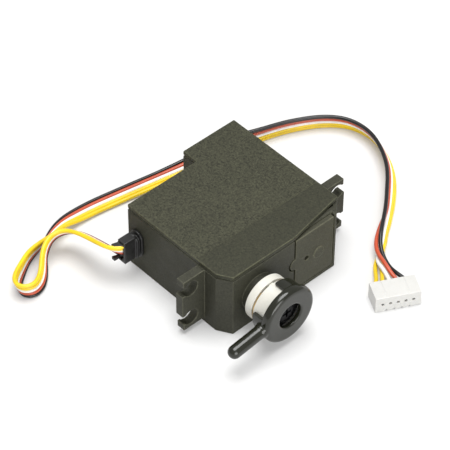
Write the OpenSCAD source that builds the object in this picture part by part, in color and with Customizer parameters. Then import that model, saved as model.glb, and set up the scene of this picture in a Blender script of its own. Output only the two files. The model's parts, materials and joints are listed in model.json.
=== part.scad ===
// Servo motor, lying on its wide side: a moulded case with open mounting ears, a brushed motor,
// a four-stage gear train, a feedback potentiometer, a servo-saver lever on the output shaft,
// and a five-wire ribbon lead that ends in a white plug.
//
// The geometry is drawn in the case's own frame: X runs along the output shaft from the back
// plane of the case, Y across the case from its lead end, and Z up from its lower wide face.
// place() then moves it to the part's frame, whose origin is at the bottom centre of the servo.

/* [Case] */
// Depth of the main case from its back plane to its front face
case_depth = 36.2; // [36:0.1:37]
// Width of the case between its two end faces
case_width = 40.4; // [40.3:0.1:41]
// Thickness of the case between its two wide faces
case_thick = 20; // [20:0.2:21]
// Thickness of the case's side walls
wall = 1.2; // [1:0.1:1.3]
// Thickness of the lid plate
lid_t = 1.2; // [1:0.1:1.5]
// How far the motor housing stands out behind the back plane
step_depth = 5; // [4.5:0.1:6]

/* [Mounting ears] */
// How far each ear reaches out from its end face
ear_reach = 7.2; // [6.8:0.1:8]
// Thickness of each ear along the output shaft
ear_t = 2.5; // [2:0.1:3]
// Radius of the open screw holes in the ears
ear_hole_r = 2.25; // [2:0.05:2.3]
// Distance between the two holes of one ear
ear_hole_pitch = 10; // [9:0.5:11]
// Distance of the holes from the end face
ear_hole_out = 4.5; // [4:0.1:4.8]
// Width of each hole's mouth in the ear's outer edge
ear_mouth = 2.9; // [2:0.1:3]

/* [Gear train] */
// Distance of the output shaft from the lead end face
out_y = 10.4; // [10.2:0.1:10.6]
// Distance between the output shaft and the long idler pin
out_centres = 11.5; // [11.5]
// Distance between the two idler shafts
idler_centres = 9.6; // [9.6]
// Teeth of the motor pinion and of the idler wheel that it drives
stage1 = [10, 38];
// Teeth of the second stage, pinion then wheel
stage2 = [12, 36];
// Teeth of the third stage, pinion then wheel
stage3 = [10, 22];
// Teeth of the last stage, pinion then output wheel
stage4 = [15, 31];
// Backlash along the pitch circle that each gear gives up
backlash = 0.04; // [0.03:0.01:0.06]

/* [Servo saver] */
// Outer radius of the white flange and collar
saver_r = 6.3; // [6:0.1:6.4]
// Outer radius of the lever's round head
horn_r = 8.05; // [7.5:0.05:8.5]
// Distance of the lever's front face from the back plane
horn_front = 48; // [47.8:0.1:49]
// Reach of the lever's tip from the output shaft, across the case
lever_reach = 18.4; // [18:0.1:22]
// Radius of the lever's round rod
lever_r = 1.75; // [1.5:0.05:1.9]
// How far the lever hangs below the wide faces' middle plane, in degrees
lever_tilt = 7; // [0:1:10]

/* [Lead] */
// Diameter of one insulated wire
wire_d = 1.1; // [1:0.05:1.2]
// Number of wires in the ribbon
wires = 5; // [5]
// Distance between neighbouring contacts in the plug
plug_pitch = 2; // [2]

/* [Hidden] */
$fn = 64;

// Part frame: middle of the servo's own box, at the surface that it lies on
origin_x = (horn_front - step_depth) / 2;
origin_y = (case_width + ear_reach + out_y - lever_reach) / 2;
mid_z = case_thick / 2;

// Shafts, all parallel to X at half the case's thickness
idler_y = out_y + out_centres;
motor_y = idler_y + idler_centres;

// Case outline
step_start = 22.9;
nose_cut = [3.8, 2.25];
corner_cut = [3.2, 3.4];
inner_cut = 1;
front_wall = 2.6;
inner_x = case_depth - front_wall;
rim_z = case_thick - lid_t;
seam = 0.15;
panel_t = 1.25;
panel_start = 22.8;
panel_end = case_width - corner_cut[1] - 0.6;
panel_low = 1;
lobe = [23.1, 10.1, 2.1];
lobe_gap = 0.35;
lid_front = 22.7;
eps = 0.02;
fit = 0.05;

// Ears
ear_x = 25.9;
ear_low = 1.6;
ear_tip = 0.4;
ear_high = case_thick - ear_low;

// Case screws: place of each, and the parts of one
screw_at = [[9, 3.5], [27.5, 3.5], [3.1, 20.6], [31.2, 37.1]];
post_r = 1.75;
screw_r = 0.9;
screw_head = [1.6, 0.8];
screw_top = 16;

// Output end
boss_r = 5.2;
boss_front = 38.1;
bush_r = 4.2;
shaft_r = 3;
journal_r = 2.6;
spline_x = [38.2, 43.4];
spline_n = 25;
pilot_r = 1;
flange_x = [38.4, 40.6];
sleeve_r = 4.2;
spring_x = [40.7, 41.1];
spring_r = [4.4, 5.9];
spring_gap = 33;
lug_half = 7;
collar_x = [41.2, 45.5];
sleeve_front = 44.95;
washer_x = [45.0, 45.3];
horn_back = 45.6;
horn_hole_r = 3.5;
skirt_r = [6.35, 7.4];
skirt_back = 42.1;
skirt_from = 165;
skirt_sweep = 105;
lever_x = 46;
lever_neck = 7.9;

// Gear train, as stretches along the shafts
plate_x = [21.7, 23.3];
plate_boss = 24.2;
pinion_x = [23.9, 26.4];
wheel1_x = [24.4, 26.2];
pinion2_end = 28.8;
wheel2_x = [26.9, 28.6];
pinion3_end = 31.2;
wheel3_x = [29, 30.9];
pinion4_end = 33.3;
wheel4_x = [31.3, 33.1];
pin_r = 0.75;
pin_end = 34.5;
module1 = 0.4;
module3 = 0.6;
module4 = 0.5;
pressure_angle = 20;
wheel_add = 0.6;
wheel_ded = 1.2;
pinion_add = 1;
pinion_ded = 0.9;

// Motor
can_r = 7.2;
can_t = 0.7;
can_x = [0.2, 21.6];
bell_x = [-2.3, 0.15];
nose_r = 2.4;
nose_end = 22.9;
magnet_r = [4.95, 6.45];
magnet_x = [4, 18];
core_r = 4.6;
core_x = [5.2, 16.8];
coil_x = [3.9, 18.1];
commutator_r = 1.7;
commutator_x = [0.9, 3.5];
motor_screw_off = 4.2;

// Potentiometer
pot_r = 6.6;
pot_x = [14.5, 21.2];
pot_rotor_x = [17.2, 18.4];
pot_track_x = [15.8, 16.4];
pot_shaft_r = 1.5;
pot_shaft_end = 26;
pot_flat = 0.5;

// Strain relief, on the lead end face
relief = [3.8, 9.5];
relief_h = 8.4;
relief_block = -5.6;
relief_tip = -7.4;

// Lead route: X, Y and Z of the ribbon's centre, and its lean. The lean turns the ribbon's
// width about its own run: 0 stands it on edge with the last wire up, 90 lays it flat with
// that wire to the right.
route = [
    [3.8, 1.9, 9.4, 180], [3.9, -1.9, 9.5, 174], [3.8, -4.8, 9.9, 160], [1.7, -6.9, 10.2, 142],
    [-1.8, -7.4, 9.7, 136], [-6.3, -7.6, 8.7, 135], [-10.4, -8, 7.6, 135],
    [-13.2, -9.2, 6.9, 140], [-14.6, -11.4, 6.3, 152], [-14.5, -14, 5.6, 168],
    [-13.2, -16.6, 4.5, 182], [-10.7, -19, 3.8, 192], [-8.4, -21.2, 3.1, 193],
    [-6.9, -23.4, 2.8, 188], [-6.3, -25.7, 2.8, 178], [-7.2, -27.7, 2.8, 168],
    [-9.2, -28.4, 2.8, 163], [-11.2, -27.2, 2.8, 165], [-13.6, -23.8, 2.8, 175],
    [-15.9, -19.6, 2.8, 186], [-17.1, -15.2, 2.7, 200], [-18, -11.3, 2.4, 216],
    [-19.2, -8, 2.1, 232], [-20.2, -4.6, 1.5, 247], [-20.5, -0.6, 1, 260], [-20, 6, 0.75, 266],
    [-18.4, 15.5, 0.7, 267], [-16.1, 27.5, 0.8, 270], [-13.8, 37, 1.5, 292],
    [-11.8, 45.5, 2.6, 335], [-9.8, 53.5, 2.8, 364], [-6.7, 62.4, 2.8, 370], [-2, 70.4, 2.8, 374],
    [4, 75, 2.8, 380], [12.4, 75.4, 2.8, 384], [22.5, 70.5, 2.8, 387], [31.2, 61.8, 2.8, 384],
    [38, 52.6, 2.8, 358], [43.5, 46.8, 2.6, 305], [52.2, 41.2, 2.4, 270]
];
rings = 80;
fan_start = 37.6;

// Plug, lying on the same surface
plug_back = [52.2, 41.2];
plug_turn = -28;
plug_depth = 6;
plug_width = 11.9;
plug_height = 4.8;

// ---------------------------------------------------------------- helpers

module place() {
    translate([-origin_x, -origin_y, 0]) children();
}

// A round bar along X between two stations
module rod(x, r, y = out_y, z = mid_z) {
    translate([x[0], y, z]) rotate([0, 90, 0]) cylinder(r = r, h = x[1] - x[0]);
}

// A round tube along X
module tube(x, r_out, r_in, y = out_y, z = mid_z) {
    difference() {
        rod(x, r_out, y, z);
        rod([x[0] - 1, x[1] + 1], r_in, y, z);
    }
}

// A profile drawn in the plane across a shaft, made solid along X
module along(x, y = out_y, turn = 0) {
    translate([x[0], y, mid_z]) rotate([90, 0, 90]) rotate(turn)
        linear_extrude(x[1] - x[0]) children();
}

// A box from its low corner to its high corner
module block(low, high) {
    translate(low) cube(high - low);
}

// A round bar between any two points
module bar(a, b, r) {
    d = b - a;
    translate(a) rotate([0, acos(d[2] / norm(d)), atan2(d[1], d[0])]) cylinder(r = r, h = norm(d));
}

// Catmull-Rom blend of four route points
function blend(a, b, c, d, u) =
    0.5 * (2 * b + (c - a) * u + (2 * a - 5 * b + 4 * c - d) * u * u
           + (3 * b - a - 3 * c + d) * u * u * u);

// The point at a station along a route, and the direction that the route runs in there
function at(line, t) =
    let (last = len(line) - 1, i = min(floor(t), last - 1))
    blend(line[max(i - 1, 0)], line[i], line[i + 1], line[min(i + 2, last)], t - i);

function head(v) = [v[0], v[1], v[2]];

function run(line, t) =
    let (last = len(line) - 1, d = head(at(line, min(t + 0.1, last)) - at(line, max(t - 0.1, 0))))
    d / norm(d);

// A closed skin over rings of points, all with the same number of sides
module skin(points, rings, sides) {
    walls = [for (i = [0 : rings - 2], k = [0 : sides - 1])
        let (a = i * sides + k, b = i * sides + (k + 1) % sides)
        each [[a, b, a + sides], [b, b + sides, a + sides]]];
    ends = [[for (k = [sides - 1 : -1 : 0]) k],
            [for (k = [0 : sides - 1]) (rings - 1) * sides + k]];
    polyhedron(points, concat(walls, ends));
}

// One insulated wire along a route
module wire(line, r, rings) {
    sides = 8;
    points = [for (i = [0 : rings - 1])
        let (t = (len(line) - 1) * i / (rings - 1), d = run(line, t), n = cross(d, [0, 0, 1]),
             across = n / norm(n), up = cross(across, d))
        each [for (k = [0 : sides - 1])
            head(at(line, t)) + r * (cos(360 * k / sides) * up + sin(360 * k / sides) * across)]];
    skin(points, rings, sides);
}

// A pie slice that cuts a ring, from one angle through a sweep
module slice(r, from, sweep) {
    polygon(concat([[0, 0]], [for (i = [0 : 6]) r * unit(from + sweep * i / 6)]));
}

function unit(a) = [cos(a), sin(a)];

// ---------------------------------------------------------------- gears

function inv(a) = tan(a) * 180 / PI - a;

// Half the angle that a tooth fills at radius r
function half_tooth(r, n, m) =
    let (base = m * n * cos(pressure_angle) / 2, a = r > base ? acos(base / r) : 0)
    90 / n - backlash / (m * n / 2) * 180 / PI + inv(pressure_angle) - inv(a);

function gear_points(n, m, add, ded) =
    let (pitch = m * n / 2, root = pitch - m * ded, tip = pitch + m * add,
         radii = [root, (root + pitch) / 2, pitch, tip])
    [for (i = [0 : n - 1], k = [0 : 7])
        let (r = radii[k < 4 ? k : 7 - k], side = k < 4 ? -1 : 1)
        r * unit(360 * i / n + side * half_tooth(r, n, m))];

module wheel(x, n, m, y, turn) {
    along(x, y, turn) polygon(gear_points(n, m, wheel_add, wheel_ded));
}

module pinion(x, n, m, y, turn) {
    along(x, y, turn) polygon(gear_points(n, m, pinion_add, pinion_ded));
}

// ---------------------------------------------------------------- case

function case_outline() = [
    [0, 0], [case_depth - nose_cut[0], 0], [case_depth, nose_cut[1]],
    [case_depth, case_width - corner_cut[1]], [case_depth - corner_cut[0], case_width],
    [-step_depth, case_width], [-step_depth, step_start], [0, step_start]
];

function cavity_outline() = [
    [wall, wall], [inner_x - inner_cut, wall], [inner_x, wall + inner_cut],
    [inner_x, case_width - wall - inner_cut], [inner_x - inner_cut, case_width - wall],
    [wall - step_depth, case_width - wall], [wall - step_depth, step_start + wall],
    [wall, step_start + wall]
];

function lid_outline() = [
    [0, 0], [case_depth - nose_cut[0], 0], [case_depth, nose_cut[1]], [case_depth, lid_front],
    [case_depth - corner_cut[0], case_width], [-step_depth, case_width],
    [-step_depth, step_start], [0, step_start]
];

// One mounting ear, drawn for the lead end; the other end mirrors it
module ear() {
    difference() {
        union() {
            block([ear_x, -ear_reach, mid_z - ear_hole_pitch / 2 + ear_mouth / 2],
                  [ear_x + ear_t, wall, mid_z + ear_hole_pitch / 2 - ear_mouth / 2]);
            block([ear_x, -ear_hole_out, ear_low], [ear_x + ear_t, wall, ear_high]);
            for (side = [-1, 1]) {
                mouth_z = mid_z + side * (ear_hole_pitch + ear_mouth) / 2;
                rim_z = mid_z + side * (ear_high - mid_z);
                block([ear_x, ear_tip - ear_reach, min(mouth_z, rim_z)],
                      [ear_x + ear_t, 1 - ear_hole_out, max(mouth_z, rim_z)]);
            }
        }
        for (side = [-1, 1])
            rod([ear_x - 1, ear_x + ear_t + 1], ear_hole_r, -ear_hole_out,
                mid_z + side * ear_hole_pitch / 2);
    }
}

module ears() {
    ear();
    translate([0, case_width, 0]) mirror([0, 1, 0]) ear();
}

// The recess of the front panel, or the panel itself with a gap all round
module panel_shape(x, gap) {
    difference() {
        union() {
            block([x[0], panel_start + gap, panel_low + gap], [x[1], panel_end - gap, rim_z + 1]);
            rod(x, lobe[2] - gap, lobe[0], lobe[1]);
        }
        block([x[0] - 1, 0, rim_z - seam - gap], [x[1] + 1, case_width, case_thick]);
    }
}

module case_tray() {
    color([0.17, 0.17, 0.16]) difference() {
        union() {
            difference() {
                linear_extrude(rim_z - seam) polygon(case_outline());
                translate([0, 0, wall]) linear_extrude(case_thick) polygon(cavity_outline());
            }
            rod([inner_x, boss_front], boss_r);
            for (p = screw_at)
                translate([p[0], p[1], 0]) cylinder(r = post_r, h = mid_z);
            ears();
        }
        rod([inner_x - 1, boss_front + 1], bush_r + eps);
        rod([inner_x - 1, pin_end + 0.1], pin_r + eps, idler_y);
        rod([inner_x - 1, pin_end + 0.1], pin_r + eps, motor_y);
        panel_shape([case_depth - panel_t, case_depth + 1], 0);
        for (p = screw_at) translate([p[0], p[1], 0]) {
            translate([0, 0, -1]) cylinder(r = screw_r + 0.15, h = case_thick);
            translate([0, 0, -1]) cylinder(r = screw_head[0] + 0.15, h = 1 + screw_head[1]);
        }
        relief_slot();
    }
}

module case_lid() {
    color([0.30, 0.30, 0.26]) difference() {
        union() {
            translate([0, 0, rim_z]) linear_extrude(lid_t) polygon(lid_outline());
            for (p = screw_at)
                translate([p[0], p[1], mid_z + eps]) cylinder(r = post_r, h = rim_z - mid_z);
        }
        for (p = screw_at)
            translate([p[0], p[1], 0]) cylinder(r = screw_r + eps, h = screw_top + 0.5);
    }
}

module front_panel() {
    color([0.24, 0.24, 0.21]) union() {
        difference() {
            panel_shape([case_depth - panel_t + eps, case_depth + 0.1], lobe_gap);
            rod([case_depth - panel_t, case_depth + 1], 0.7, 27, mid_z - 0.2);
        }
        rod([case_depth, case_depth + 0.4], 1.7, 31, mid_z - 0.7);
    }
}

module case_screws() {
    color([0.55, 0.55, 0.56]) for (p = screw_at) translate([p[0], p[1], 0]) difference() {
        union() {
            translate([0, 0, 0.1]) cylinder(r = screw_head[0], h = screw_head[1] - 0.15);
            translate([0, 0, 0.5]) cylinder(r = screw_r, h = screw_top - 0.5);
        }
        for (a = [0, 90]) rotate(a) translate([-1, -0.2, 0]) cube([2, 0.4, 0.55]);
    }
}

// ---------------------------------------------------------------- strain relief

// A plate with round ends, standing across the lead
module oval(y, r, h) {
    for (side = [-1, 1])
        translate([relief[0], y[1], relief[1] + side * (h / 2 - r)]) rotate([90, 0, 0])
            cylinder(r = r, h = y[1] - y[0]);
    block([relief[0] - r, y[0], relief[1] - h / 2 + r], [relief[0] + r, y[1], relief[1] + h / 2 - r]);
}

module relief_slot() {
    oval([-1, wall + 1], 1.45, 6.5);
}

module strain_relief() {
    color([0.10, 0.10, 0.10]) difference() {
        union() {
            oval([-0.8, -eps], 2.2, relief_h);
            oval([-1.4, wall + 0.9], 1.4, 6.4);
            oval([wall + eps, wall + 0.9], 2, relief_h - 1.6);
            oval([-2, -1.35], 2, relief_h - 0.4);
            block([relief[0] - 1.3, relief_block, 6.3], [relief[0] + 1.3, -1.95, 13.4]);
            for (z = [[11.4, 12.6], [7.2, 8.2]])
                translate([0, 0, z[0]]) linear_extrude(z[1] - z[0])
                    polygon([[2, relief_tip], [3.2, relief_tip], [4.8, relief_block + 0.1],
                             [2.6, relief_block + 0.1]]);
        }
        block([relief[0] - 0.6, relief_block - 3, 7], [relief[0] + 0.6, wall + 2, 12]);
    }
}

// ---------------------------------------------------------------- gear plate and shafts

module gear_plate() {
    color([0.85, 0.85, 0.80]) difference() {
        union() {
            block([plate_x[0], wall + 0.15, wall + 0.15],
                  [plate_x[1], case_width - wall - 0.15, rim_z - 0.15]);
            rod([plate_x[0], plate_boss], journal_r + 1.1);
        }
        rod([plate_x[0] - 1, plate_boss + 1], journal_r + fit);
        rod([plate_x[0] - 1, plate_x[1] + 1], nose_r + fit, motor_y);
        rod([plate_x[0] + 0.3, plate_x[1] + 1], pin_r + eps, idler_y);
        for (side = [-1, 1])
            rod([plate_x[0] - 1, plate_x[1] + 1], 0.85, motor_y, mid_z + side * motor_screw_off);
    }
}

module long_idler_pin() {
    color([0.7, 0.7, 0.72]) rod([plate_x[0] + 0.4, pin_end], pin_r, idler_y);
}

module short_idler_pin() {
    color([0.7, 0.7, 0.72]) rod([pinion_x[1] + 0.2, pin_end], pin_r, motor_y);
}

module first_idler_gear() {
    color([0.92, 0.92, 0.88]) difference() {
        union() {
            wheel(wheel1_x, stage1[1], module1, idler_y, 180 / stage1[1]);
            pinion([wheel1_x[1] - 0.1, pinion2_end], stage2[0], module1, idler_y, 0);
        }
        rod([wheel1_x[0] - 1, pinion2_end + 1], pin_r + fit, idler_y);
    }
}

module second_idler_gear() {
    color([0.92, 0.92, 0.88]) difference() {
        union() {
            wheel(wheel2_x, stage2[1], module1, motor_y, 180 / stage2[1]);
            pinion([wheel2_x[1] - 0.1, pinion3_end], stage3[0], module3, motor_y, 0);
        }
        rod([wheel2_x[0] - 1, pinion3_end + 1], pin_r + fit, motor_y);
    }
}

module third_idler_gear() {
    color([0.92, 0.92, 0.88]) difference() {
        union() {
            wheel(wheel3_x, stage3[1], module3, idler_y, 180 / stage3[1]);
            pinion([wheel3_x[1] - 0.1, pinion4_end], stage4[0], module4, idler_y, 180);
        }
        rod([wheel3_x[0] - 1, pinion4_end + 1], pin_r + fit, idler_y);
    }
}

function spline_points() = [
    for (i = [0 : 2 * spline_n - 1]) (i % 2 == 0 ? 2.9 : 2.72) * unit(180 * i / spline_n)
];

module output_gear() {
    color([0.90, 0.90, 0.86]) difference() {
        union() {
            rod([plate_x[0] + 0.2, wheel4_x[0] + 0.1], journal_r);
            wheel(wheel4_x, stage4[1], module4, out_y, 180 / stage4[1]);
            rod([wheel4_x[1] - 0.1, spline_x[0]], shaft_r);
            along(spline_x) polygon(spline_points());
        }
        pot_socket([plate_x[0] - 1, pot_shaft_end + 0.5], fit);
        rod([boss_front - 1, spline_x[1] + 1], pilot_r);
    }
}

module output_bush() {
    color([0.72, 0.58, 0.30]) difference() {
        rod([inner_x - 0.2, boss_front], bush_r);
        rod([inner_x - 1, boss_front + 1], shaft_r + fit);
    }
}

// ---------------------------------------------------------------- motor

module motor_can() {
    color([0.75, 0.75, 0.76]) difference() {
        union() {
            rod(can_x, can_r, motor_y);
            rod([can_x[1] - 0.5, nose_end], nose_r, motor_y);
        }
        rod([can_x[0] - 1, can_x[1] - 1], can_r - can_t, motor_y);
        rod([can_x[1] - 2, nose_end + 1], 1.9 + eps, motor_y);
        for (side = [-1, 1])
            rod([can_x[1] - 2, can_x[1] + 1], 0.7 + eps, motor_y, mid_z + side * motor_screw_off);
    }
}

module motor_end_bell() {
    color([0.12, 0.12, 0.13]) difference() {
        rod(bell_x, can_r, motor_y);
        rod([bell_x[0] + 1, bell_x[1] + 1], can_r - 1.4, motor_y);
        rod([bell_x[0] - 1, bell_x[1]], 1.9 + eps, motor_y);
        for (side = [-1, 1])
            block([bell_x[0] - 1, motor_y - 1.3, mid_z + side * 4.5 - 0.3],
                  [bell_x[0] + 2, motor_y + 1.3, mid_z + side * 4.5 + 0.3]);
    }
}

module motor_magnets() {
    color([0.25, 0.25, 0.27]) for (side = [0, 180])
        along(magnet_x, motor_y) intersection() {
            difference() {
                circle(r = magnet_r[1]);
                circle(r = magnet_r[0]);
            }
            slice(20, side - 65, 130);
        }
}

module motor_bushes() {
    color([0.72, 0.58, 0.30]) {
        tube([can_x[1] - 0.9, nose_end - 0.1], 1.9, pin_r + fit, motor_y);
        tube([bell_x[0] + 0.05, bell_x[0] + 0.95], 1.9, pin_r + fit, motor_y);
    }
}

// Two sprung brush arms that press on the commutator, each with its solder tag
module motor_brushes() {
    color([0.80, 0.60, 0.30]) for (side = [-1, 1]) {
        z = mid_z + side * 4.5;
        inner = mid_z + side * (commutator_r + 0.05);
        block([bell_x[0] - 0.9, motor_y - 1.2, z - 0.2], [2.5, motor_y + 1.2, z + 0.2]);
        block([1.7, motor_y - 0.8, min(z, inner)], [2.5, motor_y + 0.8, max(z, inner)]);
    }
}

module motor_shaft() {
    color([0.7, 0.7, 0.72]) rod([bell_x[0] + 0.2, pinion_x[1]], pin_r, motor_y);
}

module rotor_shape() {
    circle(r = 1.9);
    for (a = [0, 120, 240]) {
        rotate(a) translate([0, -0.8]) square([core_r - 0.5, 1.6]);
        intersection() {
            difference() {
                circle(r = core_r);
                circle(r = core_r - 0.8);
            }
            slice(20, a - 46, 92);
        }
    }
}

module rotor_core() {
    color([0.5, 0.5, 0.52]) difference() {
        along(core_x, motor_y) rotor_shape();
        rod([core_x[0] - 1, core_x[1] + 1], pin_r + eps, motor_y);
    }
}

// Three coils, each wound round one arm of the core
module rotor_windings() {
    color([0.72, 0.38, 0.18]) difference() {
        along(coil_x, motor_y) for (a = [0, 120, 240])
            rotate(a) translate([2.05, -1.9]) square([1.6, 3.8]);
        along([core_x[0] - eps, core_x[1] + eps], motor_y) for (a = [0, 120, 240])
            rotate(a) translate([0, -0.85]) square([core_r, 1.7]);
    }
}

module commutator() {
    color([0.80, 0.50, 0.28]) difference() {
        rod(commutator_x, commutator_r, motor_y);
        rod([commutator_x[0] - 1, commutator_x[1] + 1], pin_r + eps, motor_y);
        along([commutator_x[0] - 1, commutator_x[1] - 0.4], motor_y) for (a = [60, 180, 300])
            rotate(a) translate([1.2, -0.12]) square([1, 0.24]);
    }
}

module motor_pinion() {
    color([0.85, 0.68, 0.30]) difference() {
        pinion(pinion_x, stage1[0], module1, motor_y, 0);
        rod([pinion_x[0] - 1, pinion_x[1] + 1], pin_r + eps, motor_y);
    }
}

module motor_screws() {
    color([0.55, 0.55, 0.56]) for (side = [-1, 1]) difference() {
        union() {
            rod([can_x[1] - 0.9, plate_x[1] + 0.1], 0.7, motor_y, mid_z + side * motor_screw_off);
            rod([plate_x[1] + eps, plate_x[1] + 0.75], 1.3, motor_y,
                mid_z + side * motor_screw_off);
        }
        block([plate_x[1] + 0.4, motor_y - 0.15, mid_z + side * motor_screw_off - 2],
              [plate_x[1] + 2, motor_y + 0.15, mid_z + side * motor_screw_off + 2]);
    }
}

// ---------------------------------------------------------------- potentiometer

// The D-shaped end of the potentiometer's shaft, or its socket with a running gap
module pot_socket(x, gap) {
    difference() {
        rod(x, pot_shaft_r + gap);
        block([x[0] - 1, out_y - 5, mid_z + pot_shaft_r - pot_flat + gap],
              [x[1] + 1, out_y + 5, mid_z + 5]);
    }
}

module pot_housing() {
    color([0.20, 0.30, 0.42]) difference() {
        union() {
            rod(pot_x, pot_r);
            block([pot_x[0], out_y - 3.2, wall + 0.2], [pot_x[0] + 2.4, out_y + 3.2, mid_z]);
        }
        rod([pot_x[0] + 1, pot_x[1] - 0.8], pot_r - 0.8);
        rod([pot_x[0] + 2, pot_x[1] + 1], pot_shaft_r + fit);
        for (k = [-1 : 1])
            rod([pot_x[0] - 1, pot_x[0] + 2], 0.35, out_y + 2 * k, mid_z - 3.5);
    }
}

module pot_track() {
    color([0.35, 0.22, 0.12]) difference() {
        tube(pot_track_x, pot_r - 0.85, 1.2);
        for (k = [-1 : 1])
            rod([pot_track_x[0] - 1, pot_track_x[1] + 1], 0.35, out_y + 2 * k, mid_z - 3.5);
    }
}

module pot_terminals() {
    color([0.80, 0.78, 0.70]) for (k = [-1 : 1])
        rod([pot_x[0] - 2.2, pot_track_x[1] - 0.1], 0.3, out_y + 2 * k, mid_z - 3.5);
}

module pot_rotor() {
    color([0.88, 0.88, 0.84]) union() {
        rod(pot_rotor_x, pot_r - 1.2);
        pot_socket([pot_rotor_x[0], pot_shaft_end], 0);
    }
}

module pot_wiper() {
    color([0.85, 0.70, 0.35]) for (side = [-1, 1])
        block([pot_track_x[1] + 0.05, out_y - 0.5, mid_z + side * 3.6 - 0.6],
              [pot_rotor_x[0] - eps, out_y + 0.5, mid_z + side * 3.6 + 0.6]);
}

// ---------------------------------------------------------------- inner leads

module motor_leads() {
    for (side = [-1, 1])
        color(side > 0 ? "yellow" : "gold")
            wire([[-3.1, motor_y - 1.25, mid_z + side * 4.5], [-3, 26.6, mid_z + side * 5.2],
                  [-1.5, 25, mid_z + side * 6], [1.6, 25, mid_z + side * 6.2],
                  [5.6, 22.6, mid_z + side * 5.5], [6, 17, mid_z + side * 3],
                  [4.8, 6, 10.05 + side * 0.55], [3.8, 2.5, 10.05 + side * 0.55]],
                 wire_d / 2, 24);
}

module pot_leads() {
    for (k = [-1 : 1])
        color(["black", "red", "white"][k + 1])
            wire([[pot_x[0] - 2.5, out_y + 2 * k, mid_z - 3.5],
                  [10.2, out_y + 2 * k, mid_z - 3.5], [6.8, 6.8 + 1.3 * k, 6.9 + 0.8 * k],
                  [4.4, 4.4, 7.3 + 1.12 * k], [3.8, 2.5, 7.3 + 1.12 * k]], wire_d / 2, 16);
}

// ---------------------------------------------------------------- servo saver and lever

module saver_hub() {
    color([0.95, 0.95, 0.93]) difference() {
        union() {
            rod(flange_x, saver_r);
            rod([flange_x[0], sleeve_front], sleeve_r);
            along([flange_x[1] - 0.1, spring_x[1]]) ring_sector([sleeve_r - 0.1, 5], 90);
        }
        rod([flange_x[0] - 1, spline_x[1] + 0.1], 2.95);
        rod([flange_x[0], sleeve_front + 1], 1.15);
    }
}

// A short lug between two radii, centred on an angle
module ring_sector(r, at) {
    intersection() {
        difference() {
            circle(r = r[1]);
            circle(r = r[0]);
        }
        slice(20, at - lug_half, 2 * lug_half);
    }
}

module saver_spring() {
    color([0.80, 0.65, 0.30]) along(spring_x) difference() {
        circle(r = spring_r[1]);
        circle(r = spring_r[0]);
        slice(20, 90 - spring_gap, 2 * spring_gap);
    }
}

module saver_collar() {
    color([0.93, 0.93, 0.91]) difference() {
        union() {
            rod(collar_x, saver_r);
            along([spring_x[0], collar_x[0] + 0.1]) ring_sector([5.1, 5.9], 90);
        }
        rod([collar_x[0] - 1, collar_x[1] + 1], sleeve_r + fit);
        rod([washer_x[0] - 0.05, collar_x[1] + 1], 5.4);
    }
}

module saver_washer() {
    color([0.7, 0.7, 0.72]) tube(washer_x, 5.2, pilot_r + 0.1);
}

module horn_screw() {
    color([0.45, 0.45, 0.47]) difference() {
        union() {
            rod([washer_x[1] + eps, washer_x[1] + 1.3], 2.4);
            rod([spline_x[0] + 0.6, washer_x[1] + 0.1], pilot_r - eps);
        }
        for (a = [0, 90])
            along([washer_x[1] + 0.6, washer_x[1] + 2], out_y, a)
                translate([-1.4, -0.25]) square([2.8, 0.5]);
    }
}

// Half section of the lever's round head, as radius against distance from its back
function head_section() = let (front = horn_front - horn_back, round = 1.1, back = 0.5)
    concat(
        [[horn_hole_r, 0], [horn_r - back, 0]],
        [for (i = [1 : 5]) [horn_r - back, back] + back * unit(-90 + 90 * i / 5)],
        [for (i = [0 : 8]) [horn_r - round, front - round] + round * unit(90 * i / 8)],
        [for (i = [0 : 4]) [horn_hole_r + 0.4, front - 0.4] + 0.4 * unit(90 + 90 * i / 4)]);

// A point on the lever's axis, at a distance from the output shaft
function lever_at(d) = [lever_x, out_y - d * cos(lever_tilt), mid_z - d * sin(lever_tilt)];

module lever_horn() {
    reach = (lever_reach - lever_r) / cos(lever_tilt);
    tip = lever_at(reach);
    color([0.08, 0.08, 0.08]) difference() {
        union() {
            translate([horn_back, out_y, mid_z]) rotate([0, 90, 0]) rotate_extrude()
                polygon(head_section());
            along([skirt_back, horn_back + 0.2]) difference() {
                circle(r = skirt_r[1]);
                circle(r = skirt_r[0]);
                slice(20, skirt_from - 180 + skirt_sweep, 180 - skirt_sweep);
                slice(20, skirt_from + skirt_sweep, 180 - skirt_sweep);
            }
            bar(lever_at(6.8), tip, lever_r);
            translate(lever_at(lever_neck)) sphere(r = lever_r + 0.22);
            translate(tip) sphere(r = lever_r);
        }
        rod([horn_back - 0.5, horn_back + 1.1], 5.5);
    }
}

// ---------------------------------------------------------------- lead and plug

// One ring of the ribbon: a flat section with bevelled edges, wider where it fans to the plug
function ring_at(t) =
    let (p = at(route, t), d = run(route, t), flat = cross(d, [0, 0, 1]),
         side = flat / norm(flat), up = cross(side, d),
         across = cos(p[3]) * up + sin(p[3]) * side, thin = cross(d, across),
         fan = max(0, (t - fan_start) / (len(route) - 1 - fan_start)),
         w = (wires * wire_d + fan * (wires - 1) * (plug_pitch - wire_d)) / 2, h = wire_d / 2)
    [for (q = [[w, 0.5 * h], [w - 0.5 * h, h], [0.5 * h - w, h], [-w, 0.5 * h], [-w, -0.5 * h],
               [0.5 * h - w, -h], [w - 0.5 * h, -h], [w, -0.5 * h]])
        head(p) + q[0] * across + q[1] * thin];

module ribbon_cable() {
    color([0.95, 0.85, 0.15])
        skin([for (i = [0 : rings - 1]) each ring_at((len(route) - 1) * i / (rings - 1))],
             rings, 8);
}

module plug_frame() {
    translate([plug_back[0], plug_back[1], 0]) rotate(plug_turn) children();
}

function contact_y(k) = (k - (wires - 1) / 2) * plug_pitch;

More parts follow.
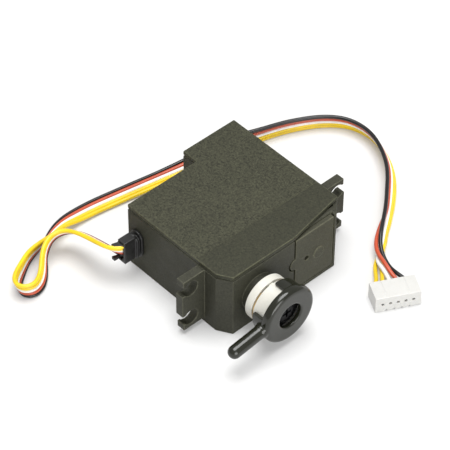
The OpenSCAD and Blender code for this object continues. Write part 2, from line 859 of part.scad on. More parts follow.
module plug_housing() {
    color([0.95, 0.95, 0.93]) plug_frame() difference() {
        block([0, -plug_width / 2, 0], [plug_depth, plug_width / 2, plug_height]);
        for (k = [0 : wires - 1]) {
            block([1, contact_y(k) - 0.65, 1.5], [plug_depth - 0.8, contact_y(k) + 0.65, 3.2]);
            block([-1, contact_y(k) - 0.65, 1.75], [1.1, contact_y(k) + 0.65, 3.05]);
            block([0, contact_y(k) - 0.35, 2.05], [plug_depth + 1, contact_y(k) + 0.35, 2.75]);
        }
        for (k = [0 : wires - 2])
            block([plug_depth - 1.2, contact_y(k) + 0.8, -1],
                  [plug_depth + 1, contact_y(k) + 1.2, 0.5]);
    }
}

module plug_contacts() {
    color([0.78, 0.76, 0.68]) plug_frame() for (k = [0 : wires - 1]) difference() {
        block([1.1, contact_y(k) - 0.6, 1.6], [plug_depth - 0.9, contact_y(k) + 0.6, 3.1]);
        block([1.6, contact_y(k) - 0.35, 2.05], [plug_depth, contact_y(k) + 0.35, 2.75]);
    }
}

// ---------------------------------------------------------------- parts

place() case_tray();
place() case_lid();
place() front_panel();
place() case_screws();
place() strain_relief();
place() gear_plate();
place() motor_can();
place() motor_end_bell();
place() motor_magnets();
place() motor_bushes();
place() motor_brushes();
place() motor_shaft();
place() rotor_core();
place() rotor_windings();
place() commutator();
place() motor_pinion();
place() motor_screws();
place() long_idler_pin();
place() short_idler_pin();
place() first_idler_gear();
place() second_idler_gear();
place() third_idler_gear();
place() output_gear();
place() output_bush();
place() pot_housing();
place() pot_track();
place() pot_terminals();
place() pot_rotor();
place() pot_wiper();
place() motor_leads();
place() pot_leads();
place() saver_hub();
place() saver_spring();
place() saver_collar();
place() saver_washer();
place() horn_screw();
place() lever_horn();
place() ribbon_cable();
place() plug_housing();
place() plug_contacts();
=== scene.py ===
import json
import math

import bmesh
import bpy
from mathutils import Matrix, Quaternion, Vector


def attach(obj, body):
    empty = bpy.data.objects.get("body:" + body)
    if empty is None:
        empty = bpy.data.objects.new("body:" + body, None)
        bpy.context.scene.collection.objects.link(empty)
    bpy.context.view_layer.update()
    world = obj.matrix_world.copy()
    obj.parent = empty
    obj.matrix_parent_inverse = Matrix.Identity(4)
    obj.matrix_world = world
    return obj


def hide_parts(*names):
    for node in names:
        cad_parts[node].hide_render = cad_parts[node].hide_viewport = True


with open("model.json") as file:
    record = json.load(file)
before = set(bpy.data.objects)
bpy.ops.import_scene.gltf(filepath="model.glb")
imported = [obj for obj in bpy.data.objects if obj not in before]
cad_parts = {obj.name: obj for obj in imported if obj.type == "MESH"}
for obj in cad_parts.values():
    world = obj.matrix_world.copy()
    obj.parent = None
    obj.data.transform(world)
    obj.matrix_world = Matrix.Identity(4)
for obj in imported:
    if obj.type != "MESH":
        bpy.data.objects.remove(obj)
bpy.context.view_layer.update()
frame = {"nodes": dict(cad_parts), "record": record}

MM = 0.001
# The case's own frame, in which the lead's route is drawn, starts here in the part's frame
SHIFT = Vector((-21.5, -19.8, 0.0))


def place(p):
    """A point of the case's frame in millimetres, as a point of the part's frame in metres."""
    return (Vector(p[:3]) + SHIFT) * MM


# ---------------------------------------------------------------- camera

# The photo's view: place, direction and lens were solved from the corners of the case
scene = bpy.context.scene
cam_data = bpy.data.cameras.new("camera")
cam_data.lens = 194.85
cam_data.sensor_width = 36.0
cam_data.clip_start = 0.01
cam_data.clip_end = 20.0
cam = bpy.data.objects.new("camera", cam_data)
scene.collection.objects.link(cam)
cam.location = place((331.19, -272.64, 443.57))
cam.rotation_mode = "QUATERNION"
look = Vector((-0.51830, 0.47808, -0.70909))
roll = math.radians(0.265)
cam.rotation_quaternion = look.to_track_quat("-Z", "Y") @ Quaternion((0, 0, 1), roll)
scene.camera = cam

# ---------------------------------------------------------------- materials


class Shader:
    """A principled material with helpers for its procedural detail."""

    def __init__(self, name):
        self.mat = bpy.data.materials.new(name)
        self.mat.use_nodes = True
        self.tree = self.mat.node_tree
        self.bsdf = next(n for n in self.tree.nodes if n.type == "BSDF_PRINCIPLED")
        self.coords = self.node("ShaderNodeTexCoord").outputs["Object"]

    def node(self, kind, **settings):
        n = self.tree.nodes.new(kind)
        for key, value in settings.items():
            setattr(n, key, value)
        return n

    def link(self, a, b):
        self.tree.links.new(a, b)

    def mapped(self, scale):
        m = self.node("ShaderNodeMapping")
        m.inputs["Scale"].default_value = scale
        self.link(self.coords, m.inputs["Vector"])
        return m.outputs["Vector"]

    def noise(self, size, detail=3.0, rough=0.55, stretch=(1, 1, 1)):
        """Noise whose features are about size millimetres across."""
        n = self.node("ShaderNodeTexNoise")
        k = 1.0 / (size * MM)
        self.link(self.mapped(tuple(k * s for s in stretch)), n.inputs["Vector"])
        n.inputs["Scale"].default_value = 1.0
        n.inputs["Detail"].default_value = detail
        n.inputs["Roughness"].default_value = rough
        return n.outputs["Fac"]

    def cells(self, size):
        v = self.node("ShaderNodeTexVoronoi")
        k = 1.0 / (size * MM)
        self.link(self.mapped((k, k, k)), v.inputs["Vector"])
        v.inputs["Scale"].default_value = 1.0
        return v.outputs["Distance"]

    def remap(self, value, low, high, to_low=0.0, to_high=1.0):
        m = self.node("ShaderNodeMapRange")
        self.link(value, m.inputs["Value"])
        for key, x in (("From Min", low), ("From Max", high), ("To Min", to_low), ("To Max", to_high)):
            m.inputs[key].default_value = x
        return m.outputs["Result"]

    def math(self, op, a, b):
        m = self.node("ShaderNodeMath", operation=op)
        for i, x in enumerate((a, b)):
            if isinstance(x, (int, float)):
                m.inputs[i].default_value = x
            else:
                self.link(x, m.inputs[i])
        return m.outputs[0]

    def mix(self, factor, a, b):
        m = self.node("ShaderNodeMix", data_type="RGBA")
        if isinstance(factor, (int, float)):
            m.inputs[0].default_value = factor
        else:
            self.link(factor, m.inputs[0])
        for i, x in ((6, a), (7, b)):
            if isinstance(x, tuple):
                m.inputs[i].default_value = (*x, 1)
            else:
                self.link(x, m.inputs[i])
        return m.outputs[2]

    def edges(self, radius):
        """1 on the edges of the shape, 0 on its flats."""
        b = self.node("ShaderNodeBevel", samples=4)
        b.inputs["Radius"].default_value = radius * MM
        g = self.node("ShaderNodeNewGeometry")
        d = self.node("ShaderNodeVectorMath", operation="DOT_PRODUCT")
        self.link(b.outputs[0], d.inputs[0])
        self.link(g.outputs["Normal"], d.inputs[1])
        return self.remap(d.outputs["Value"], 0.998, 0.93)

    def bump(self, height, strength, depth, under=None):
        b = self.node("ShaderNodeBump")
        b.inputs["Strength"].default_value = strength
        b.inputs["Distance"].default_value = depth * MM
        self.link(height, b.inputs["Height"])
        if under is not None:
            self.link(under, b.inputs["Normal"])
        return b.outputs["Normal"]

    def done(self, colour, rough, normal, **constants):
        self.link(colour, self.bsdf.inputs["Base Color"])
        self.link(rough, self.bsdf.inputs["Roughness"])
        self.link(normal, self.bsdf.inputs["Normal"])
        for key, value in constants.items():
            self.bsdf.inputs[key.replace("_", " ")].default_value = value
        return self.mat


def tint(c, k):
    return tuple(min(1.0, x * k) for x in c)


def plastic(name, colour, rough=0.5, grain=0.3, depth=0.02, spread=0.12, edge_wear_and_highlight=1.5, spot=4.0, **extra):
    """Moulded plastic: fine grain, soft blotches, and paler edges that are partly rubbed wear and partly a
    painted highlight.
    """
    s = Shader(name)
    blotch = s.remap(s.noise(spot, 4.0), 0.3, 0.7)
    fine = s.noise(grain, 2.5, 0.6)
    base = s.mix(blotch, tint(colour, 1 - spread), tint(colour, 1 + spread))
    base = s.mix(s.remap(fine, 0.35, 0.7, 0.0, 0.5), base, tint(colour, 1 + 2 * spread))
    # Paler edges: partly rubbed wear, partly a painted highlight.
    wear_and_painted_highlight = s.math("MULTIPLY", s.edges(0.14), s.remap(s.noise(1.6, 4.0), 0.35, 0.65, 0.15, 0.9))
    base = s.mix(wear_and_painted_highlight, base, tint(colour, edge_wear_and_highlight))
    smooth = s.remap(s.noise(spot * 0.6, 5.0), 0.3, 0.7, rough - 0.07, rough + 0.08)
    return s.done(base, smooth, s.bump(fine, 0.5, depth), **extra)


def case_plastic(name, colour, front_x=None, grain=1.0):
    """The case's spark-textured black plastic, with a painted highlight along its edges that noise breaks
    up like rubbed wear. The lid is coarser behind its witness line.
    """
    s = Shader(name)
    coarse = s.cells(0.34)
    fine = s.noise(0.16, 3.0, 0.65)
    mottle = s.noise(0.36, 3.0, 0.75)
    part = 0.35
    if front_x is not None:
        split = s.node("ShaderNodeSeparateXYZ")
        s.link(s.coords, split.inputs[0])
        part = s.remap(split.outputs[0], (front_x - 0.1) * MM, (front_x + 0.1) * MM, 1.0, 0.3)
    height = s.math("ADD", s.math("MULTIPLY", coarse, part), fine)
    tone = s.mix(s.remap(s.noise(6.0, 4.0), 0.3, 0.7), tint(colour, 0.9), tint(colour, 1.1))
    speck = s.math("MULTIPLY", s.remap(mottle, 0.46, 0.68), 0.85 * grain)
    base = s.mix(speck, tone, tint(colour, 2.15))
    pit = s.math("MULTIPLY", s.remap(s.noise(0.62, 3.5, 0.8), 0.52, 0.36), 0.8 * grain)
    base = s.mix(pit, base, tint(colour, 0.3))
    if front_x is not None:
        base = s.mix(s.remap(part, 0.3, 1.0, 0.5, 0.0), base, tint(colour, 0.6))
    # Edges painted much paler: a painted highlight, broken up by noise like rubbed wear.
    wear_and_painted_highlight = s.math("MULTIPLY", s.edges(0.3), s.remap(s.noise(1.8, 5.0), 0.33, 0.6, 0.35, 1.0))
    base = s.mix(wear_and_painted_highlight, base, tint(colour, 3.6))
    rough = s.remap(s.noise(3.0, 5.0), 0.3, 0.7, 0.5, 0.64)
    return s.done(base, rough, s.bump(height, 0.5, 0.035), Specular_IOR_Level=0.22)


def metal(name, colour, rough=0.3, stretch=(14, 1, 1), edge_wear_and_highlight=0.6, depth=0.006):
    """Turned or drawn metal: fine lines, faint stains, and brighter edges that are partly rubbed wear and
    partly a painted highlight.
    """
    s = Shader(name)
    lines = s.noise(1.2, 3.0, 0.6, stretch)
    stain = s.remap(s.noise(2.5, 5.0), 0.35, 0.7)
    base = s.mix(stain, colour, tint(colour, 0.8))
    # Brighter edges: partly rubbed wear, partly a painted highlight.
    base = s.mix(s.math("MULTIPLY", s.edges(0.1), edge_wear_and_highlight), base, tint(colour, 1.25))
    ripple = s.remap(lines, 0.3, 0.7, -0.06, 0.08)
    r = s.math("ADD", ripple, s.remap(stain, 0.0, 1.0, rough - 0.02, rough + 0.1))
    return s.done(base, r, s.bump(lines, 0.3, depth), Metallic=1.0)


def insulation(name, colour):
    """Extruded PVC over a stranded core, which shows through as a faint lay."""
    s = Shader(name)
    lay = s.noise(0.7, 2.0, 0.5)
    base = s.mix(s.remap(s.noise(5.0, 3.0), 0.3, 0.7), tint(colour, 0.9), tint(colour, 1.08))
    base = s.mix(s.remap(s.noise(1.0, 4.0), 0.55, 0.75, 0.0, 0.25), base, tint(colour, 0.75))
    r = s.remap(s.noise(2.0, 4.0), 0.3, 0.7, 0.27, 0.4)
    return s.done(base, r, s.bump(lay, 0.25, 0.03), Specular_IOR_Level=0.5)


WIRE_COLOURS = {
    "yellow_outer": (0.79, 0.55, 0.012),
    "yellow_inner": (0.81, 0.575, 0.015),
    "white": (0.80, 0.79, 0.76),
    "red": (0.49, 0.075, 0.029),
    "black": (0.006, 0.0055, 0.0055),
}
wire_mats = {k: insulation("wire_" + k, c) for k, c in WIRE_COLOURS.items()}

# The witness line across the lid, in the case's frame
WITNESS_X = 25.6
mats = {
    "case_dark": case_plastic("case_dark", (0.033, 0.033, 0.0225), grain=0.5),
    "lid_grey": case_plastic("lid_grey", (0.034, 0.0345, 0.0205), front_x=WITNESS_X + SHIFT.x),
    "panel_grey": case_plastic("panel_grey", (0.043, 0.0425, 0.028), grain=0.5),
    # Near-black steel: partly black oxide, partly painted shade that darkens the hole in the horn; the case
    # and motor screws share it.
    "screw_steel": metal("screw_steel", (0.011, 0.011, 0.012), 0.32),
    "grommet_black": plastic(
        "grommet_black", (0.0085, 0.0085, 0.008), rough=0.42, grain=0.5, depth=0.03, spread=0.15, edge_wear_and_highlight=2.2,
    ),
    "plate_white": plastic("plate_white", (0.62, 0.62, 0.56), 0.5),
    "can_steel": metal("can_steel", (0.58, 0.58, 0.57), 0.32, stretch=(1, 12, 12)),
    "bell_black": plastic("bell_black", (0.016, 0.016, 0.018), 0.45),
    "magnet_grey": plastic("magnet_grey", (0.06, 0.06, 0.065), 0.7, grain=0.2, depth=0.03),
    "bush_bronze": metal("bush_bronze", (0.55, 0.36, 0.15), 0.38),
    "brush_copper": metal("brush_copper", (0.72, 0.38, 0.17), 0.33),
    "shaft_steel": metal("shaft_steel", (0.62, 0.62, 0.63), 0.2),
    "core_steel": metal(
        "core_steel", (0.42, 0.42, 0.44), 0.4, stretch=(30, 1, 1), edge_wear_and_highlight=0.5, depth=0.03,
    ),
    "winding_copper": metal(
        "winding_copper", (0.62, 0.24, 0.10), 0.3, stretch=(1, 30, 30), edge_wear_and_highlight=0.3, depth=0.06,
    ),
    "commutator_copper": metal("commutator_copper", (0.70, 0.34, 0.16), 0.28),
    "pinion_brass": metal("pinion_brass", (0.70, 0.50, 0.18), 0.28),
    "gear_white": plastic(
        "gear_white", (0.74, 0.73, 0.66), rough=0.42, grain=0.4, depth=0.01, spread=0.04, edge_wear_and_highlight=1.1,
    ),
    "output_white": plastic(
        "output_white", (0.70, 0.69, 0.62), rough=0.42, grain=0.4, depth=0.01, spread=0.04, edge_wear_and_highlight=1.1,
    ),
    "pot_body": plastic("pot_body", (0.04, 0.09, 0.20), 0.45),
    "pot_track": plastic("pot_track", (0.045, 0.030, 0.020), 0.6, grain=0.2),
    "tin_plate": metal("tin_plate", (0.62, 0.60, 0.55), 0.3),
    "wiper_gold": metal("wiper_gold", (0.75, 0.52, 0.20), 0.25),
    "yellow_wire": insulation("yellow_wire", (0.86, 0.60, 0.02)),
    "pot_wire": insulation("pot_wire", (0.55, 0.08, 0.05)),
    "saver_white": plastic(
        "saver_white", (0.60, 0.588, 0.53),
        rough=0.36, grain=0.5, depth=0.012, spread=0.03, edge_wear_and_highlight=1.12, spot=3.0,
        Subsurface_Weight=0.15, Subsurface_Scale=0.0012, Subsurface_Radius=(1.0, 0.85, 0.7),
    ),
    "spring_gold": metal("spring_gold", (0.66, 0.46, 0.20), 0.3),
    "washer_steel": metal("washer_steel", (0.30, 0.30, 0.31), 0.3),
    "horn_black": plastic(
        "horn_black", (0.0105, 0.0112, 0.0065), rough=0.16, grain=0.9, depth=0.012, edge_wear_and_highlight=1.6, spot=5.0,
    ),
    "ribbon_insulation": wire_mats["yellow_inner"],
    "plug_white": plastic(
        "plug_white", (0.54, 0.535, 0.512),
        rough=0.34, grain=0.6, depth=0.012, spread=0.03, edge_wear_and_highlight=1.08, spot=3.0,
        Subsurface_Weight=0.2, Subsurface_Scale=0.001, Subsurface_Radius=(1.0, 0.9, 0.8),
    ),
}

BODY = {n: b for b, names in frame["record"]["behaviour"]["bodies"].items() for n in names}

# ---------------------------------------------------------------- tools for detailed copies


def chamfer_rim(bm, z, width):
    """Cuts a small chamfer along the rim's edges at height z that face away from the middle."""
    middle = sum((v.co for v in bm.verts), Vector()) / len(bm.verts)
    chosen = []
    for e in bm.edges:
        mid = (e.verts[0].co + e.verts[1].co) / 2
        flat = all(abs(v.co.z - z * MM) < 1e-5 for v in e.verts)
        if flat and any(abs(f.normal.z) < 0.1 and f.normal.dot(mid - middle) > 0 for f in e.link_faces):
            chosen.append(e)
    bmesh.ops.bevel(bm, geom=chosen, offset=width * MM, segments=1, affect="EDGES", clamp_overlap=False)


def clean_mesh(node, rim=None):
    """A CAD node's mesh with its flats merged, as a start for bevels and cuts."""
    bm = bmesh.new()
    bm.from_mesh(frame["nodes"][node].data)
    bmesh.ops.remove_doubles(bm, verts=bm.verts, dist=2e-6)
    bmesh.ops.recalc_face_normals(bm, faces=bm.faces)
    if rim is not None:
        chamfer_rim(bm, *rim)
    bmesh.ops.dissolve_limit(bm, angle_limit=math.radians(0.6), verts=bm.verts, edges=bm.edges)
    bmesh.ops.recalc_face_normals(bm, faces=bm.faces)
    mesh = bpy.data.meshes.new(node + "_form")
    bm.to_mesh(mesh)
    bm.free()
    return mesh


def cutter(near, far):
    """A solid between two closed outlines of as many points each, for shallow cuts."""
    bm = bmesh.new()
    a = [bm.verts.new(p) for p in near]
    b = [bm.verts.new(p) for p in far]
    n = len(a)
    for i in range(n):
        bm.faces.new((a[i], a[(i + 1) % n], b[(i + 1) % n], b[i]))
    bm.faces.new(list(reversed(a)))
    bm.faces.new(b)
    bmesh.ops.recalc_face_normals(bm, faces=bm.faces)
    mesh = bpy.data.meshes.new("cutter")
    bm.to_mesh(mesh)
    bm.free()
    o = bpy.data.objects.new("cutter", mesh)
    scene.collection.objects.link(o)
    return o


def finished(o, modifiers):
    """Runs modifiers on an object and keeps only their result."""
    for kind, settings in modifiers:
        m = o.modifiers.new(kind.lower(), kind)
        for key, value in settings.items():
            setattr(m, key, value)
    deps = bpy.context.evaluated_depsgraph_get()
    mesh = bpy.data.meshes.new_from_object(o.evaluated_get(deps))
    o.modifiers.clear()
    o.data = mesh


def detailed(node, slot, modifiers, cuts=(), smooth=True, cuts_last=False, rim=None):
    """A detailed copy of a CAD node, which rides the node's body in its place."""
    o = bpy.data.objects.new(node + "_detail", clean_mesh(node, rim))
    scene.collection.objects.link(o)
    steps = [("BOOLEAN", {"object": c, "operation": "DIFFERENCE", "solver": "EXACT"}) for c in cuts]
    steps = modifiers + steps if cuts_last else steps + modifiers
    # Large flats with holes in them only fill correctly once they are triangles
    finished(o, steps + [("TRIANGULATE", {"ngon_method": "BEAUTY", "min_vertices": 5})])
    for c in cuts:
        bpy.data.objects.remove(c)
    o.data.materials.clear()
    o.data.materials.append(mats[slot])
    for f in o.data.polygons:
        f.material_index = 0
        f.use_smooth = True
    if smooth:
        finished(o, [("WEIGHTED_NORMAL", {"weight": 100, "mode": "FACE_AREA"})])
    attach(o, BODY[node])
    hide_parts(node)
    return o


# Edges that turn by less stay as they are
BEVEL_ANGLE = math.radians(32)


def rounded(width, segments=3):
    """Rounded moulded edges."""
    return [("BEVEL", {
        "width": width * MM, "segments": segments, "limit_method": "ANGLE",
        "angle_limit": BEVEL_ANGLE, "use_clamp_overlap": False, "miter_outer": "MITER_ARC",
        "harden_normals": False,
    })]


def melted(voxel, factor, turns):
    """Every edge and inner corner blended, as on a soft or thick moulding."""
    return [
        ("REMESH", {"mode": "VOXEL", "voxel_size": voxel * MM}),
        ("SMOOTH", {"factor": factor, "iterations": turns}),
    ]


# Grooves start this far out of the face that they cut. A cut made before a bevel slopes less than
# the bevel's angle limit, so that its edges stay crisp.
PROUD = 0.01


def groove(x, y0, y1, z, width, depth):
    """A V-shaped witness line in a face that looks up, along Y."""
    outline = ((-width / 2, PROUD), (width / 2, PROUD), (0, -depth))
    return cutter(*[[place((x + side, y, z + up)) for side, up in outline] for y in (y0, y1)])


def end_groove(x, z0, z1, width=0.3, depth=0.07):
    """The same line down the face at the lead's end."""
    outline = ((-width / 2, -PROUD), (width / 2, -PROUD), (0, depth))
    return cutter(*[[place((x + side, into, z)) for side, into in outline] for z in (z0, z1)])


def dimple(x, y, r, sides=32):
    """A shallow round ejector mark, a cone's end, in the face that the case lies on."""
    turns = [2 * math.pi * k / sides for k in range(sides)]
    return cutter(*[
        [place((x + ring * math.cos(a), y + ring * math.sin(a), z)) for a in turns]
        for ring, z in ((r + 0.1, -0.05), (r - 0.15, 0.07))
    ])


# ---------------------------------------------------------------- lead

# X, Y and Z of the ribbon's centre and its lean, as in the design. Most stations follow fits to the
# photo that were made by another program, and the rest were placed by eye: see report.md.
ROUTE = [
    (3.8, 1.9, 9.4, 180), (3.9, -1.9, 9.5, 174), (3.8, -4.8, 9.9, 160), (1.7, -6.9, 10.2, 142),
    (-1.8, -7.4, 9.7, 136), (-6.3, -7.6, 8.7, 135), (-10.4, -8, 7.6, 135),
    (-13.2, -9.2, 6.9, 140), (-14.6, -11.4, 6.3, 152), (-14.5, -14, 5.6, 168),
    (-13.2, -16.6, 4.5, 182), (-10.7, -19, 3.8, 192), (-8.4, -21.2, 3.1, 193),
    (-6.9, -23.4, 2.8, 188), (-6.3, -25.7, 2.8, 178), (-7.2, -27.7, 2.8, 168),
    (-9.2, -28.4, 2.8, 163), (-11.2, -27.2, 2.8, 165), (-13.6, -23.8, 2.8, 175),
    (-15.9, -19.6, 2.8, 186), (-17.1, -15.2, 2.7, 200), (-18, -11.3, 2.4, 216),
    (-19.2, -8, 2.1, 232), (-20.2, -4.6, 1.5, 247), (-20.5, -0.6, 1, 260), (-20, 6, 0.75, 266),
    (-18.4, 15.5, 0.7, 267), (-16.1, 27.5, 0.8, 270), (-13.8, 37, 1.5, 292),
    (-11.8, 45.5, 2.6, 335), (-9.8, 53.5, 2.8, 364), (-6.7, 62.4, 2.8, 370), (-2, 70.4, 2.8, 374),
    (4, 75, 2.8, 380), (12.4, 75.4, 2.8, 384), (22.5, 70.5, 2.8, 387), (31.2, 61.8, 2.8, 384),
    (38, 52.6, 2.8, 358), (43.5, 46.8, 2.6, 305), (52.2, 41.2, 2.4, 270),
]
WIRE_D = 1.1
WIRE_SIDES = 14
# A wire's tube is this much thinner in radius, so that neighbours do not share a face
WIRE_SLACK = 0.01
# Where each wire leaves the bonded ribbon, its place across it, and its own points to its contact.
# The points began as places in the photo, projected to guessed heights, and were then edited.
SPLIT = 36.3
STRANDS = {
    "yellow_outer": (-2.2, [
        (37.5, 54.4, 0.62), (40.0, 51.2, 0.6), (41.4, 48.2, 0.6), (42.8, 45.4, 0.6),
        (44.6, 43.2, 0.9), (46.7, 41.3, 1.6), (48.6, 39.5, 2.2), (49.5, 38.25, 2.4),
    ]),
    "yellow_inner": (-1.1, [
        (37.3, 54.2, 1.7), (40.1, 50.8, 1.6), (42.4, 47.9, 1.3), (44.1, 45.6, 1.2),
        (46.1, 44.0, 1.4), (48.1, 42.1, 1.8), (49.4, 40.9, 2.35), (50.4, 39.95, 2.4),
    ]),
    "white": (0.0, [
        (37.4, 53.6, 2.75), (40.0, 50.1, 2.4), (41.8, 47.2, 2.1), (43.8, 44.9, 2.1),
        (45.9, 43.8, 2.6), (48.6, 42.8, 2.75), (51.1, 41.8, 2.4),
    ]),
    "red": (1.1, [
        (37.0, 52.1, 3.4), (39.6, 48.4, 3.1), (42.6, 46.0, 3.4), (46.6, 44.5, 3.6),
        (49.9, 43.6, 3.1), (52.0, 43.5, 2.45),
    ]),
    "black": (2.2, [
        (38.3, 51.5, 4.5), (41.0, 48.6, 3.4), (43.8, 46.9, 2.4), (47.4, 45.5, 2.2),
        (50.6, 45.1, 2.5), (53.0, 45.2, 2.4),
    ]),
}
# The plug's contacts, numbered from one end, and how far the wires run into them
PINS = {"yellow_outer": 0, "yellow_inner": 1, "white": 2, "red": 3, "black": 4}
MIDDLE_PIN = 2
PIN_PITCH = 2.0
PIN_REACH = 0.95
PLUG_TOP = 4.8
PLUG_TURN = math.radians(-28)
PLUG_BACK = Vector((52.2, 41.2, 2.4))
INTO = Vector((math.cos(PLUG_TURN), math.sin(PLUG_TURN), 0))
ALONG = Vector((-math.sin(PLUG_TURN), math.cos(PLUG_TURN), 0))


def spline(line, t):
    """The Catmull-Rom blend that the design uses, for points of any length."""
    last = len(line) - 1
    i = min(int(t), last - 1)
    u = t - i
    a, b, c, d = (line[max(i - 1, 0)], line[i], line[i + 1], line[min(i + 2, last)])
    return [
        0.5 * (2 * q + (r - p) * u + (2 * p - 5 * q + 4 * r - s) * u * u + (3 * q - p - 3 * r + s) * u ** 3)
        for p, q, r, s in zip(a, b, c, d)
    ]


# Stations of the route, and a lean in degrees
STRAIGHT_TO = 0.9
EASE_OVER = 1.5
UPRIGHT = 180


def ribbon_point(t, offset):
    """A point of the ribbon at station t of the route, offset across it."""
    last = len(ROUTE) - 1
    p = spline(ROUTE, t)
    ahead = Vector(spline(ROUTE, min(t + 0.1, last))[:3])
    behind = Vector(spline(ROUTE, max(t - 0.1, 0))[:3])
    run = (ahead - behind).normalized()
    side = run.cross(Vector((0, 0, 1))).normalized()
    up = side.cross(run)
    # Inside the grommet the ribbon stands straight, and it takes up the route's lean from there
    ease = min(1.0, max(0.0, (t - STRAIGHT_TO) / EASE_OVER))
    lean = math.radians(UPRIGHT + (p[3] - UPRIGHT) * ease)
    return Vector(p[:3]) + offset * (math.cos(lean) * up + math.sin(lean) * side)


def even(points, step):
    """The same line with its points a fixed distance apart."""
    out = [points[0]]
    left = step
    for a, b in zip(points, points[1:]):
        d = (b - a).length
        while d >= left:
            a = a + (b - a) * (left / d)
            out.append(a.copy())
            d -= left
            left = step
        left -= d
    if (out[-1] - points[-1]).length > step * 0.3:
        out.append(points[-1])
    return out


# Points for each station, the points back that set the way a wire leaves the ribbon in, and the
# final spacing and smoothing
FINE = 12
LOOK_BACK = 14
SPACING = 0.4
SMOOTHING = 6


def strand_line(name):
    """One wire's middle line, from inside the case to its contact in the plug."""
    offset, own = STRANDS[name]
    head = [ribbon_point(t / FINE, offset) for t in range(0, int(SPLIT * FINE) + 1)]
    pin = PLUG_BACK + ALONG * ((PINS[name] - MIDDLE_PIN) * PIN_PITCH)
    tail = [head[-LOOK_BACK], head[-1], *[Vector(p) for p in own], pin, pin + INTO * PIN_REACH]
    corners = [tuple(v) for v in tail]
    free = [Vector(spline(corners, 1 + i / FINE)) for i in range(1, (len(tail) - 2) * FINE + 1)]
    line = even(head + free, SPACING)
    for _ in range(SMOOTHING):
        line = [line[0]] + [
            line[i] * 0.5 + (line[i - 1] + line[i + 1]) * 0.25 for i in range(1, len(line) - 1)
        ] + [line[-1]]
    return line


def tube(name, line, radius, sides, material):
    """A round tube along a line, closed at both ends, with its rings carried along without twist."""
    bm = bmesh.new()
    normal = None
    rings = []
    for i, p in enumerate(line):
        run = (line[min(i + 1, len(line) - 1)] - line[max(i - 1, 0)]).normalized()
        if normal is None:
            normal = run.orthogonal().normalized()
        normal = (normal - run * normal.dot(run)).normalized()
        other = run.cross(normal)
        turns = [2 * math.pi * k / sides for k in range(sides)]
        rings.append([
            bm.verts.new(place(p) + radius * MM * (math.cos(a) * normal + math.sin(a) * other))
            for a in turns
        ])
    for a, b in zip(rings, rings[1:]):
        for k in range(sides):
            bm.faces.new((a[k], a[(k + 1) % sides], b[(k + 1) % sides], b[k]))
    bm.faces.new(list(reversed(rings[0])))
    bm.faces.new(rings[-1])
    for f in bm.faces:
        f.smooth = len(f.verts) == 4
    mesh = bpy.data.meshes.new(name)
    bm.to_mesh(mesh)
    bm.free()
    mesh.materials.append(material)
    o = bpy.data.objects.new(name, mesh)
    scene.collection.objects.link(o)
    return o


def plug_groove(k, width=0.44, depth=0.13):
    """A shallow line across the top of the plug, k millimetres from its middle."""
    outline = ((-width / 2, PROUD), (width / 2, PROUD), (0, -depth))
    before, beyond = -1, 8
    return cutter(*[
        [place((*(PLUG_BACK + INTO * d + ALONG * (k + side)).xy, PLUG_TOP + up)) for side, up in outline]
        for d in (before, beyond)
    ])


plug = detailed("plug_housing", "plug_white", rounded(0.12, 2), [plug_groove(-3), plug_groove(3)])
for name in STRANDS:
    line = strand_line(name)
    w = tube("lead_" + name, line, WIRE_D / 2 - WIRE_SLACK, WIRE_SIDES, wire_mats[name])
    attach(w, "case")
    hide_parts("ribbon_cable")

# ---------------------------------------------------------------- detailed copies of moulded parts

TOP = 20.0
# The ends of the lines across the lid, past both its sides
ACROSS = (-1, 42)
# The line near the back corner, which runs over the lid's edge and down the tray
CORNER_X = 1.5
detailed("case_lid", "lid_grey", rounded(0.2), [
    groove(WITNESS_X, *ACROSS, TOP, width=0.42, depth=0.14),
    groove(CORNER_X, *ACROSS, TOP, width=0.3, depth=0.07),
    end_groove(CORNER_X, 18.0, 21.0),
], cuts_last=True)
# The tray's line stops short of its chamfered rim, at 18.65
detailed("case_tray", "case_dark", rounded(0.16), [
    end_groove(CORNER_X, 0.8, 18.2), dimple(8, 12, 1.3), dimple(24, 12, 1.3), dimple(8, 31, 1.3),
    dimple(24, 31, 1.3), dimple(31, 21, 0.9), dimple(-1, 31, 0.9),
], rim=(18.65, 0.32))
detailed("front_panel", "panel_grey", rounded(0.2))
# The grommet's mouth is open towards the side that the ribbon turns to
flare_outline = ((3.2, -4.3), (3.2, -5.62), (1.3, -5.62))
flare = cutter(*[[place((x, y, z)) for x, y in flare_outline] for z in (7.1, 12)])
detailed("strain_relief", "grommet_black", melted(0.12, 0.5, 5), [flare], smooth=False)
detailed("saver_hub", "saver_white", rounded(0.18))
detailed("saver_collar", "saver_white", rounded(0.18))
detailed("lever_horn", "horn_black", melted(0.15, 0.5, 14), smooth=False)
detailed("horn_screw", "screw_steel", rounded(0.1, 2))

# ---------------------------------------------------------------- carried-over CAD nodes

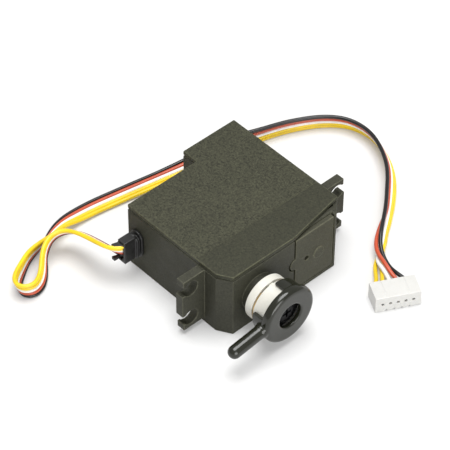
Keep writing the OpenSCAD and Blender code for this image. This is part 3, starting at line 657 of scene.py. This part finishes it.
SLOTS = {
    "case_screws": "screw_steel", "gear_plate": "plate_white", "motor_can": "can_steel",
    "motor_end_bell": "bell_black", "motor_magnets": "magnet_grey", "motor_bushes": "bush_bronze",
    "motor_brushes": "brush_copper", "motor_shaft": "shaft_steel", "rotor_core": "core_steel",
    "rotor_windings": "winding_copper", "commutator": "commutator_copper",
    "motor_pinion": "pinion_brass", "motor_screws": "screw_steel", "long_idler_pin": "shaft_steel",
    "short_idler_pin": "shaft_steel", "first_idler_gear": "gear_white",
    "second_idler_gear": "gear_white", "third_idler_gear": "gear_white",
    "output_gear": "output_white", "output_bush": "bush_bronze", "pot_housing": "pot_body",
    "pot_track": "pot_track", "pot_terminals": "tin_plate", "pot_rotor": "plate_white",
    "pot_wiper": "wiper_gold", "motor_leads": "yellow_wire", "pot_leads": "pot_wire",
    "saver_spring": "spring_gold", "saver_washer": "washer_steel", "plug_contacts": "tin_plate",
}
for node, slot in SLOTS.items():
    for s in frame["nodes"][node].material_slots:
        s.material = mats[slot]

# ---------------------------------------------------------------- floor and light


def floor_material():
    """Plain pale paper, with a little emission that keeps it white."""
    s = Shader("floor_white")
    s.link(s.remap(s.noise(400.0, 2.0), 0.3, 0.7, 0.78, 0.86), s.bsdf.inputs["Roughness"])
    s.bsdf.inputs["Base Color"].default_value = (0.58, 0.58, 0.577, 1)
    s.bsdf.inputs["Specular IOR Level"].default_value = 0.1
    s.bsdf.inputs["Emission Color"].default_value = (1, 1, 1, 1)
    s.bsdf.inputs["Emission Strength"].default_value = 0.15
    return s.mat


bm = bmesh.new()
bmesh.ops.create_grid(bm, x_segments=4, y_segments=4, size=3.0)
floor_mesh = bpy.data.meshes.new("floor")
bm.to_mesh(floor_mesh)
bm.free()
floor_mesh.materials.append(floor_material())
floor = bpy.data.objects.new("floor", floor_mesh)
# Just under the resting plane, so that the two faces do not coincide
floor.location = (0, 0, -0.00002)
scene.collection.objects.link(floor)

world = bpy.data.worlds.new("studio")
scene.world = world
world.use_nodes = True
world.node_tree.nodes["Background"].inputs["Color"].default_value = (1, 1, 1, 1)
world.node_tree.nodes["Background"].inputs["Strength"].default_value = 0.5


def area(name, at, to, size, power):
    """A round soft light that faces a point."""
    data = bpy.data.lights.new(name, "AREA")
    data.shape = "DISK"
    data.size = size
    data.energy = power
    o = bpy.data.objects.new(name, data)
    o.location = at
    o.rotation_mode = "QUATERNION"
    o.rotation_quaternion = (Vector(to) - Vector(at)).to_track_quat("-Z", "Y")
    scene.collection.objects.link(o)


area("key", (-0.02, 0.02, 0.75), (0, 0, 0), 0.6, 7.0)
area("fill", (0.6, -0.2, 0.2), (0, 0, 0), 0.5, 3.0)

scene.view_settings.view_transform = "Standard"
scene.view_settings.look = "None"
scene.view_settings.exposure = 0.0
scene.view_settings.gamma = 1.0
